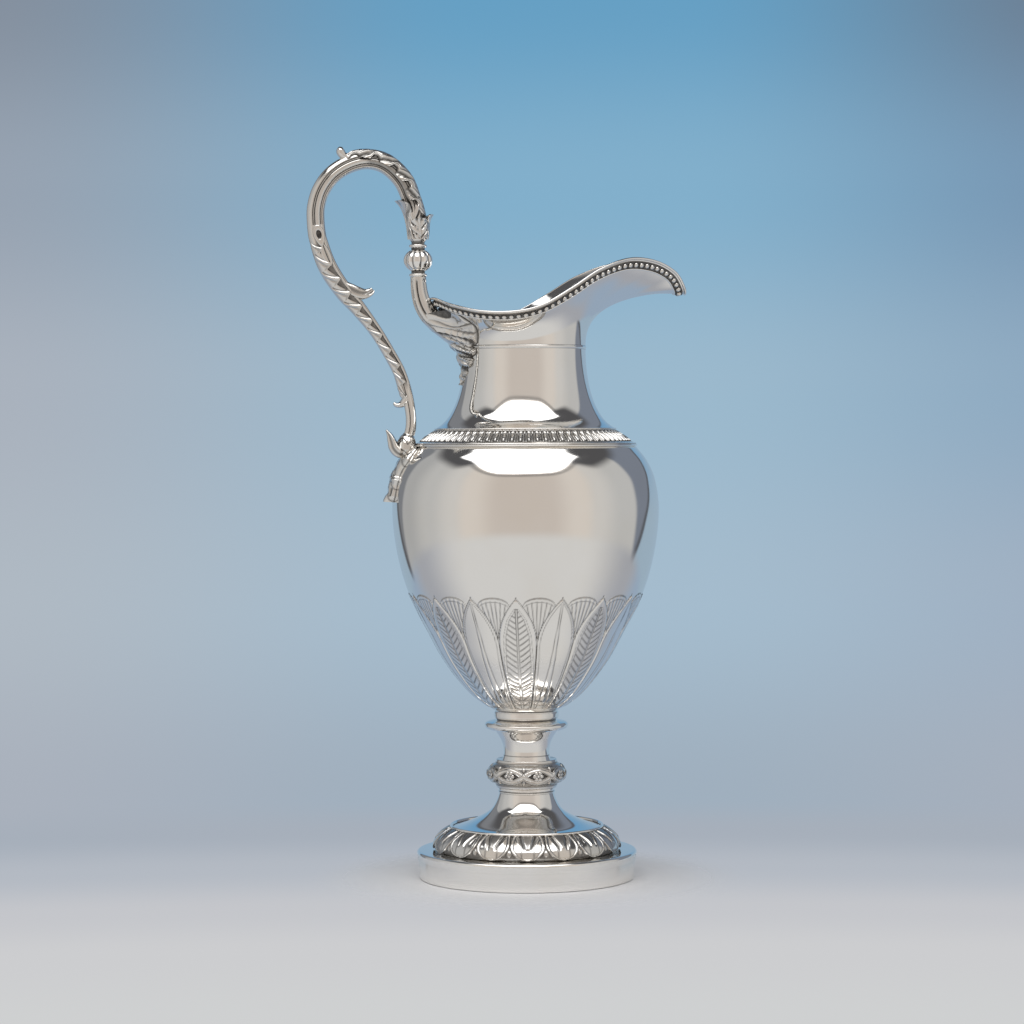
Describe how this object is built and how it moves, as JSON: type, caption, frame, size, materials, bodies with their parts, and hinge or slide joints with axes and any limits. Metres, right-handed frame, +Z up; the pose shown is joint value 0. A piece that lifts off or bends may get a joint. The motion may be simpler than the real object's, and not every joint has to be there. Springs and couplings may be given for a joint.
{
  "type": "water pitcher",
  "caption": "Tall footed silver ewer: egg-shaped body on a stem with a knop, waisted neck, beaded helmet spout and a high scrolled leaf handle.",
  "frame": {"origin": "centre of the plinth's resting face, on the axis of the body", "axes": "+Z up along the axis of the turned body; +X towards the spout; the handle lies along -X; the form mirrors across the XZ plane, and the knop's eight rosettes start 9 degrees round from +X"},
  "size_m": [0.209, 0.1458, 0.3978],
  "materials": {
    "polished_silver": "polished",
    "cast_silver": "gloss",
    "rolled_silver": "gloss"
  },
  "bodies": {
    "root": {"plinth": "polished_silver", "foot_dome": "polished_silver", "stem_spool": "polished_silver", "body_collar": "polished_silver", "body": "polished_silver", "neck": "polished_silver", "lip": "polished_silver", "foot_fillet_wire": "polished_silver", "shoulder_wire": "polished_silver", "neck_foot_wire": "polished_silver", "neck_seam_ring": "polished_silver", "rim_top_wire": "polished_silver", "rim_lower_wire": "polished_silver", "stem_collar": "polished_silver", "stem_flange": "polished_silver", "handle_mount": "cast_silver", "handle_stem": "cast_silver", "handle_lower_ring": "cast_silver", "handle_ball": "cast_silver", "handle_upper_ring": "cast_silver", "handle_leaf_cup": "cast_silver", "handle_arch": "cast_silver", "handle_arch_leaf": "cast_silver", "handle_bud": "cast_silver", "handle_thumb_leaf": "cast_silver", "handle_tail": "cast_silver", "handle_tail_leaf": "cast_silver", "handle_tail_curl": "cast_silver", "handle_calyx": "cast_silver", "terminal_leaf": "cast_silver", "terminal_plate": "cast_silver", "foot_border": "rolled_silver", "knop": "rolled_silver", "knop_rosettes": "rolled_silver", "shoulder_band": "rolled_silver", "rim_strip": "rolled_silver", "rim_beads": "rolled_silver"}
  },
  "joints": []
}
